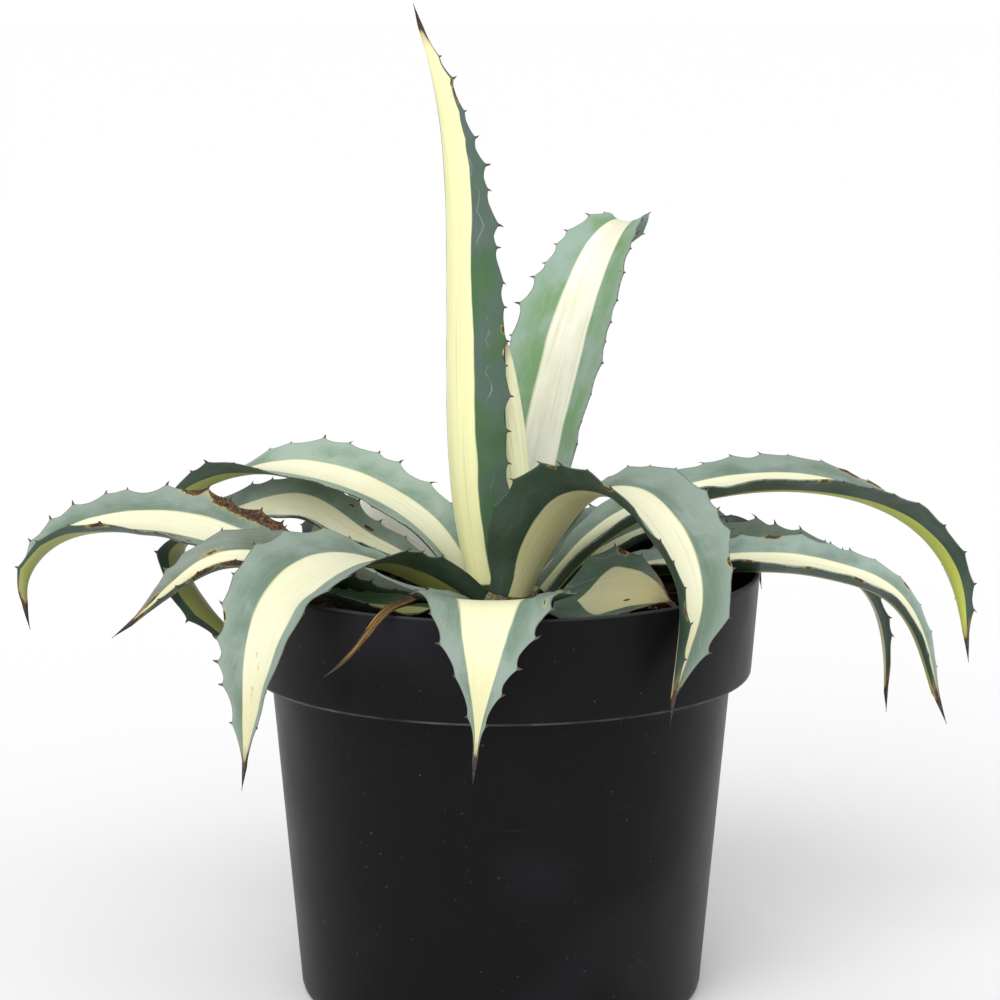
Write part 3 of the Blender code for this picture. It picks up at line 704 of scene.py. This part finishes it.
def hooked_teeth(root, outwards, forwards, upwards, size, hook):
    """A hooked tooth at each root: rings of six points, narrowing as (1 - t)^0.75, round a centre
    line root + outwards t h + forwards hook t^2 h, flatter across the blade. Points of all of
    them and how far up each tooth they are."""
    t = np.array([0.0, 0.3, 0.62, 0.86])
    angle = np.arange(6) * np.pi / 3
    height = (1.9 * size + 0.6)[:, None, None]
    reach = (t * 1.15 - 0.15)[None, :, None]
    centre = root[:, None] + outwards[:, None] * reach * height
    centre = centre + forwards[:, None] * (hook[:, None, None] * (t ** 2)[None, :, None] * height)
    thick = ((1 - t) ** 0.75 * 0.85)[None, :, None] * (0.55 + 0.45 * size)[:, None, None]
    rings = centre[:, :, None] + (thick * np.cos(angle))[..., None] * forwards[:, None, None] \
        + (thick * 0.62 * np.sin(angle))[..., None] * upwards[:, None, None]
    tips = root + outwards * height[:, 0] + forwards * (hook[:, None] * 1.35 * height[:, 0])
    points = np.concatenate([rings.reshape(len(root), TOOTH_POINTS - 1, 3), tips[:, None]], axis=1)
    shares = np.concatenate([np.repeat(t, 6), [1.0]])
    return points, np.tile(shares, (len(root), 1))


def tooth_faces(count, first):
    """Quads between the four rings and triangles to the tip, for `count` teeth."""
    j = np.arange(6)
    k = (j + 1) % 6
    quads = np.concatenate([np.stack([r + j, r + k, r + 6 + k, r + 6 + j], 1) for r in (0, 6, 12)])
    caps = np.stack([18 + j, 18 + k, j * 0 + TOOTH_POINTS - 1], 1)
    start = (first + np.arange(count) * TOOTH_POINTS)[:, None, None]
    return (quads[None] + start).reshape(-1, 4), (caps[None] + start).reshape(-1, 3)


def section(fold, flare, across):
    """Sideways and upward shares of the half width at each place across: the integrals of cos
    and sin of the blade's lean, fold (a - flare a^3), by six-point Gauss-Legendre sums."""
    nodes, weights = np.polynomial.legendre.leggauss(6)
    a = across[..., None] * (1 + nodes) / 2
    lean = fold[:, None, None] * (a - flare * a ** 3)
    return across * (np.cos(lean) @ weights) / 2, across * (np.sin(lean) @ weights) / 2


def midrib_frame(leaf, centre, s):
    """Unit vectors along the midrib, to its side and up, the last two turned by the roll. The
    side starts level and square to the way the leaf faces, less its part along the midrib."""
    ahead = np.gradient(centre, axis=0)
    ahead = ahead / np.linalg.norm(ahead, axis=1)[:, None]
    facing = math.radians(leaf.facing)
    side = np.array([-math.sin(facing), math.cos(facing), 0.0])
    side = side - (ahead @ side)[:, None] * ahead
    side = side / np.linalg.norm(side, axis=1)[:, None]
    up = np.cross(ahead, side)
    turn = np.radians(along(leaf.roll, s))[:, None]
    return ahead, side * np.cos(turn) + up * np.sin(turn), up * np.cos(turn) - side * np.sin(turn)


def blade_faces(stations, columns):
    """Quads of the closed skin: rings that run over the upper points and back under the lower
    ones, joined along the leaf, and a cap at each end."""
    around = 2 * columns
    index = np.arange(stations * around).reshape(stations, around)
    after = np.roll(index, -1, axis=1)
    skin = np.stack([index[:-1], after[:-1], after[1:], index[1:]], -1).reshape(-1, 4)
    j = np.arange(columns - 1)
    base_cap = np.stack([j, around - 1 - j, around - 2 - j, j + 1], 1)
    end_cap = index[-1, 0] + np.stack([j, j + 1, around - 2 - j, around - 1 - j], 1)
    return np.concatenate([skin, base_cap, end_cap])


def dryness(patches, run, across, length, widest):
    """How dry the skin is: the strongest of the patches, each of which fades as exp(-d^2), d
    being the distance from its middle in its own length and its smaller breadth."""
    dry = np.zeros(len(run))
    for where, place, size, strength in patches:
        far = ((run - where * length) / size) ** 2
        far = far + ((across - place) * widest / 2 / (size * PATCH_NARROWNESS)) ** 2
        dry = np.maximum(dry, strength * np.exp(-far))
    return dry


def leaf_mesh(leaf, seed, stations=280, columns=37):
    """Points, quads, triangles and attributes of a leaf. Two parameters, s along and a across,
    give the upper face as midrib(s) + width / 2 (section(a) on the side and up vectors); the
    margins also stand out by their humps and ripple up and down. The lower face is a thickness
    away along the section's own normal: thick (1 - KEEL_TO_MARGIN |a|^KEEL_ROUNDING)."""
    rng = np.random.default_rng(seed)
    centre, length = midrib_curve(leaf.midrib, stations)
    s = np.linspace(0, 1, stations)
    distance = s * length
    ahead, side, up = midrib_frame(leaf, centre, s)
    width = leaf_width(leaf, s, length)
    fold = along(leaf.fold, s)
    half = (width / 2)[:, None]
    across = np.sin(np.linspace(-1, 1, columns) * np.pi / 2 * CROWDING) / math.sin(np.pi / 2 * CROWDING)
    across = across[None]
    angle = fold[:, None] * (across - leaf.flare * across ** 3)
    out_share, up_share = section(fold, leaf.flare, across)
    left_places, left_sizes = tooth_places(length, rng)
    right_places, right_sizes = tooth_places(length, rng)
    left_sizes, right_sizes = left_sizes * leaf.teeth, right_sizes * leaf.teeth
    lateral = np.sign(across)
    outer = smooth_step(0.55, 1.0, np.abs(across)) * lateral
    hump = np.where(across < 0, margin_humps(distance, left_places, left_sizes)[:, None],
                    margin_humps(distance, right_places, right_sizes)[:, None])
    ripple = waves(distance[:, None] + 40 * lateral, lateral * 50.0, RIPPLE_LENGTH, seed + 5)
    ripple = ripple * RIPPLE_HEIGHT * smooth_step(0.3, 1, np.abs(across))
    ripple = ripple * np.clip(width / 40, 0, 1)[:, None]
    level = half * up_share + ripple
    sideways = half * out_share
    lean_side, lean_up = np.cos(angle), np.sin(angle)
    upper = centre[:, None] + (sideways + outer * hump * lean_side)[..., None] * side[:, None]
    upper = upper + (level + outer * hump * lean_up)[..., None] * up[:, None]
    depth = np.minimum(along(leaf.thick, s), WIDEST_KEEL * width)[:, None]
    depth = depth * (1 - KEEL_TO_MARGIN * np.abs(across) ** KEEL_ROUNDING)
    lower = upper + (depth * lean_up)[..., None] * side[:, None]
    lower = lower - (depth * lean_side)[..., None] * up[:, None]
    rings = np.concatenate([upper, lower[:, ::-1]], axis=1)
    around = 2 * columns

    points, horn, tooth_quads, tooth_caps = [rings.reshape(-1, 3)], [np.zeros(stations * around)], [], []
    first = stations * around
    tooth_distance, tooth_side = [], []
    for hand, places, sizes in ((0, left_places, left_sizes), (-1, right_places, right_sizes)):
        margin = (upper[:, hand] + lower[:, hand]) / 2
        sign = 1 if hand else -1
        out = sign * (lean_side[:, hand, None] * side + lean_up[:, hand, None] * up)
        normal = lean_side[:, hand, None] * up - lean_up[:, hand, None] * side
        pick = [np.stack([np.interp(places, distance, v[:, axis]) for axis in range(3)], 1)
                for v in (margin, out, ahead, normal)]
        hook = rng.normal(-0.35, 0.35, len(places)) + 0.9 * smooth_step(0.6, 1, places / length)
        made, shares = hooked_teeth(*pick, sizes, hook)
        points.append(made.reshape(-1, 3))
        horn.append(0.25 + 0.75 * shares.ravel())
        q, t = tooth_faces(len(places), first)
        tooth_quads.append(q if sign > 0 else q[:, ::-1])
        tooth_caps.append(t if sign > 0 else t[:, ::-1])
        tooth_distance.append(np.repeat(places, TOOTH_POINTS))
        tooth_side.append(np.full(len(places) * TOOTH_POINTS, float(sign)))
        first += len(places) * TOOTH_POINTS

    share = np.concatenate([across[0], across[0][::-1]])
    extra = sum(len(d) for d in tooth_distance)
    run = np.concatenate([np.repeat(distance, around), *tooth_distance])
    place = np.concatenate([np.tile(share, stations), *tooth_side])
    fields = {
        "along": run,
        "across": place,
        "sideways": np.concatenate([np.concatenate([sideways, sideways[:, ::-1]], 1).ravel(),
                                    np.full(extra, 20.0)]),
        "to_tip": length - run,
        "under": np.concatenate([np.tile(np.repeat([0.0, 1.0], columns), stations), np.zeros(extra)]),
        "horn": np.concatenate(horn),
        "dry": dryness(leaf.damage, run, place, length, width.max()),
        "past_stripe": np.abs(place - along(leaf.shift, run / length)) - along(leaf.stripe, run / length),
    }
    quads = np.concatenate([blade_faces(stations, columns), *tooth_quads])
    return np.concatenate(points), quads, np.concatenate(tooth_caps), fields


BLADE_COLOURS = {"Stripe Color": "stripe_colour", "Margin Color": "margin", "Inner Color": "inner",
                 "Back Color": "back", "Back Inner Color": "back_inner", "Back Stripe Color": "back_stripe"}
PRINT_PALE = (0.42, 0.52, 0.45, 1)
SEED_SPREAD = 7.3


def blade_group():
    """Shared effect: the colour, roughness and relief of a striped leaf, worked out from the
    attributes of its own surface."""
    tree = bpy.data.node_groups.new("striped_blade", "ShaderNodeTree")
    for name in BLADE_COLOURS:
        tree.interface.new_socket(name, in_out="INPUT", socket_type="NodeSocketColor")
    for name in ("Prints", "Seed"):
        tree.interface.new_socket(name, in_out="INPUT", socket_type="NodeSocketFloat")
    for name, kind in (("Color", "NodeSocketColor"), ("Roughness", "NodeSocketFloat"),
                       ("Height", "NodeSocketFloat")):
        tree.interface.new_socket(name, in_out="OUTPUT", socket_type=kind)
    g = Graph(tree)
    given = g.node("NodeGroupInput").outputs
    run = g.attribute("along")
    across = g.attribute("across")
    sideways = g.attribute("sideways")
    to_tip = g.attribute("to_tip")
    under = g.fade(g.attribute("under"), 0.35, 0.65)
    horn = g.attribute("horn")
    dry = g.attribute("dry")
    seed = given["Seed"]
    out_share = g.math("ABSOLUTE", across)

    # Patterns that run along the veins, and cloudy ones that don't.
    def figure(across_scale, along_scale, detail, roughness=0.55):
        spot = g.place(g.times(sideways, across_scale), g.times(run, along_scale), seed)
        return g.noise(spot, 1.0, detail, roughness)

    veins = figure(1.3, 0.012, 4.0, 0.6)
    broad = figure(0.28, 0.010, 2.0)
    cloud = figure(0.045, 0.028, 4.0, 0.6)
    grain = figure(0.9, 0.6, 3.0, 0.7)
    wander = g.noise(g.place(g.math("SIGN", across), g.times(run, 0.022), seed), 1.0, 2.0)

    # The stripe and the thin line where it meets the green.
    edge = g.plus(g.times(g.minus(wander, 0.5), 0.12), g.times(g.minus(veins, 0.5), 0.035))
    past = g.minus(g.attribute("past_stripe"), edge)
    green = g.fade(past, -0.012, 0.022)
    line = g.times(g.fade(past, -0.035, -0.005), g.fade(past, 0.03, 0.005))
    cream = g.mix(g.times(g.fade(veins, 0.50, 0.75), 0.7), given["Stripe Color"], (0.66, 0.68, 0.42, 1))
    cream = g.mix(g.times(g.fade(broad, 0.58, 0.72), 0.35), cream, (0.60, 0.62, 0.38, 1))
    cream = g.mix(g.times(g.fade(run, 45.0, 0.0), 0.5), cream, (0.75, 0.76, 0.38, 1))
    cream = g.mix(g.times(g.fade(cloud, 0.45, 0.70), 0.30), cream, (0.70, 0.66, 0.36, 1))
    cream = g.mix(g.times(g.fade(to_tip, 75.0, 20.0), 0.55), cream, (0.58, 0.52, 0.22, 1))
    bloom = g.mix(g.fade(cloud, 0.36, 0.62), given["Margin Color"], given["Inner Color"])
    bloom = g.mix(g.times(g.fade(out_share, 0.62, 1.0), 0.7), bloom, given["Margin Color"])
    bloom = g.mix(g.times(g.fade(veins, 0.45, 0.75), 0.28), bloom, (0.30, 0.38, 0.34, 1))
    bloom = g.mix(g.times(g.fade(grain, 0.62, 0.74), 0.22), bloom, (0.42, 0.48, 0.45, 1))
    face = g.mix(green, cream, bloom)
    face = g.mix(g.times(line, 0.35), face, (0.38, 0.46, 0.20, 1))

    # Prints of the next leaf's teeth: pale scalloped lines pressed in while both were in the bud.
    scallop = g.math("ABSOLUTE", g.math("SINE", g.times(run, 0.20)))
    target = g.plus(0.60, g.times(scallop, 0.10))
    target = g.plus(target, g.times(g.minus(wander, 0.5), 0.5))
    print_line = g.fade(g.math("ABSOLUTE", g.minus(out_share, target)), 0.022, 0.004)
    print_line = g.times(print_line, g.times(given["Prints"], g.fade(cloud, 0.50, 0.62)))
    printed = g.times(print_line, 0.26)
    face = g.mix(printed, face, PRINT_PALE)

    # The underside, darker and glossier, with an olive stripe.
    back_green = g.mix(g.fade(cloud, 0.40, 0.60), given["Back Inner Color"], given["Back Color"])
    back_green = g.mix(g.times(g.fade(veins, 0.5, 0.75), 0.2), back_green, (0.13, 0.18, 0.14, 1))
    back_cream = g.mix(g.times(g.fade(veins, 0.45, 0.75), 0.22), given["Back Stripe Color"],
                       (0.17, 0.21, 0.06, 1))
    back = g.mix(green, back_cream, back_green)
    back = g.mix(printed, back, PRINT_PALE)
    colour = g.mix(under, face, back)

    # Brown: the thin horny edge, dry patches, the end of the blade, then the spine and teeth.
    rim = g.times(g.fade(out_share, 0.972, 0.995), g.fade(grain, 0.30, 0.55))
    colour = g.mix(g.times(rim, 0.55), colour, (0.06, 0.055, 0.035, 1))
    ragged = g.plus(dry, g.times(g.minus(grain, 0.5), 0.9))
    dead = g.fade(ragged, 0.42, 0.52)
    husk = g.mix(g.fade(grain, 0.40, 0.68), (0.028, 0.013, 0.009, 1), (0.20, 0.105, 0.045, 1))
    colour = g.mix(dead, colour, husk)
    halo = g.times(g.fade(ragged, 0.22, 0.42), g.minus(1.0, dead))
    colour = g.mix(g.times(halo, 0.6), colour, (0.45, 0.38, 0.10, 1))
    tip_edge = g.plus(to_tip, g.times(g.fade(out_share, 0.5, 1.0), -6.0))
    tip_edge = g.plus(tip_edge, g.times(g.minus(veins, 0.5), 7.0))
    spine = g.fade(tip_edge, 15.5, 12.5)
    scorched = g.times(g.fade(tip_edge, 24.0, 14.0), 0.55)
    colour = g.mix(scorched, colour, (0.28, 0.18, 0.07, 1))
    spine_colour = g.mix(g.fade(to_tip, 13.0, 4.0), (0.050, 0.020, 0.014, 1), (0.012, 0.008, 0.008, 1))
    spine_colour = g.mix(g.times(g.fade(grain, 0.5, 0.7), 0.5), spine_colour, (0.13, 0.11, 0.10, 1))
    colour = g.mix(spine, colour, spine_colour)
    tooth = g.mix(g.fade(horn, 0.55, 0.9), (0.075, 0.050, 0.030, 1), (0.022, 0.010, 0.009, 1))
    colour = g.mix(g.fade(horn, 0.15, 0.45), colour, tooth)

    hard = g.math("MAXIMUM", spine, g.fade(horn, 0.2, 0.5))
    rough = g.plus(0.50, g.times(grain, 0.16))
    rough = g.minus(rough, g.times(under, 0.10))
    rough = g.plus(rough, g.times(dead, 0.25))
    rough = g.minus(rough, g.times(hard, 0.22))
    relief = g.plus(veins, g.times(grain, 0.35))
    relief = g.plus(relief, g.times(print_line, -0.5))
    relief = g.plus(relief, g.times(g.times(dead, grain), 1.6))
    ending = g.node("NodeGroupOutput")
    g.feed(ending.inputs["Color"], colour)
    g.feed(ending.inputs["Roughness"], rough)
    g.feed(ending.inputs["Height"], relief)
    return tree


STRIPED_BLADE = blade_group()


def leaf_material(leaf, seed):
    """The striped blade with one leaf's own colours."""
    material, graph, shader = new_material(leaf.name + "_skin", Specular_IOR_Level=0.42)
    blade = graph.node("ShaderNodeGroup", node_tree=STRIPED_BLADE)
    for socket, field in BLADE_COLOURS.items():
        blade.inputs[socket].default_value = getattr(leaf, field)
    blade.inputs["Prints"].default_value = leaf.prints
    blade.inputs["Seed"].default_value = seed * SEED_SPREAD
    graph.feed(shader.inputs["Base Color"], blade.outputs["Color"])
    graph.feed(shader.inputs["Roughness"], blade.outputs["Roughness"])
    graph.feed(shader.inputs["Normal"], graph.bump(blade.outputs["Height"], 0.45, 0.0004))
    return material


def give_fields(piece, fields):
    """Store each field on the piece's points, as an attribute for its material to read."""
    for name, values in fields.items():
        layer = piece.data.attributes.new(name, "FLOAT", "POINT")
        layer.data.foreach_set("value", values.astype(np.float32))


def plant_leaf(leaf, seed):
    """Make one leaf and put it in place of its solid."""
    verts, quads, triangles, fields = leaf_mesh(leaf, seed)
    piece = new_piece(leaf.name + "_blade", verts, quads, triangles, leaf_material(leaf, seed))
    give_fields(piece, fields)
    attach(piece, "root")
    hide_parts(leaf.name)


for number, leaf in enumerate(LEAVES, start=1):
    plant_leaf(leaf, number)


# ---------------------------------------------------------------------------------------------
# Bud: the next leaves, still soft and rolled round each other into one tight pointed cone. It
# grows from the top of the stem beside the spear, and shows the pale backs of its leaves. Their
# stripe is painted lighter still: painted light, standing in for light that comes through the shaded bud.

# Painted light: back_stripe is painted almost white, brighter than the bud's own colour, for light that
# comes through its shaded side.
BUD = Leaf("bud", -35, 60, fold=(2.5, 2.5, 2.5), thick=(1.6, 1.6, 1.2), base=0.95, neck=0.95, taper=2.2,
           midrib=[(12, -2, 211), (12, 0, 245), (11, 1, 270), (7, 5, 305), (3, 9, 326), (-2, 12, 341)],
           stripe_colour=LEMON, back_stripe=(0.95, 0.94, 0.62, 1), prints=1.0, teeth=0.4)
plant_leaf(BUD, seed=31)


# ---------------------------------------------------------------------------------------------
# Dried leaf: the oldest leaf, dead and shrivelled to a brown fibrous strap. It is still fixed to
# the foot of the stem, passes over the pot's rim and hangs down outside.

DRIED = Leaf("leaf_dried", 245, 9, fold=(1.0, 0.8, 0.8), thick=(1.5, 1.2, 0.8), base=0.6, neck=0.9,
             midrib=[(-14, -34, 200), (-36, -80, 216), (-46, -108, 220), (-55, -126, 218),
                     (-69, -140, 203), (-81, -146, 194)],
             teeth=0.0)
straw, graph, shader = new_material("dried_strap", Roughness=0.75, Specular_IOR_Level=0.3)
run = graph.times(graph.attribute("along"), 0.03)
sideways = graph.times(graph.attribute("sideways"), 2.2)
fibre = graph.noise(graph.place(sideways, run, 0.0), 1.0, 4.0, 0.6)
base = graph.mix(graph.fade(fibre, 0.43, 0.66), (0.040, 0.018, 0.008, 1), (0.46, 0.27, 0.07, 1))
base = graph.mix(graph.fade(graph.attribute("to_tip"), 22.0, 4.0), base, (0.06, 0.045, 0.035, 1))
graph.feed(shader.inputs["Base Color"], base)
graph.feed(shader.inputs["Normal"], graph.bump(fibre, 1.0, 0.0010))
verts, quads, triangles, fields = leaf_mesh(DRIED, 77, stations=200, columns=25)
dried = new_piece("leaf_dried_strap", verts, quads, triangles, straw)
give_fields(dried, fields)
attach(dried, "root")
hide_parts("leaf_dried")
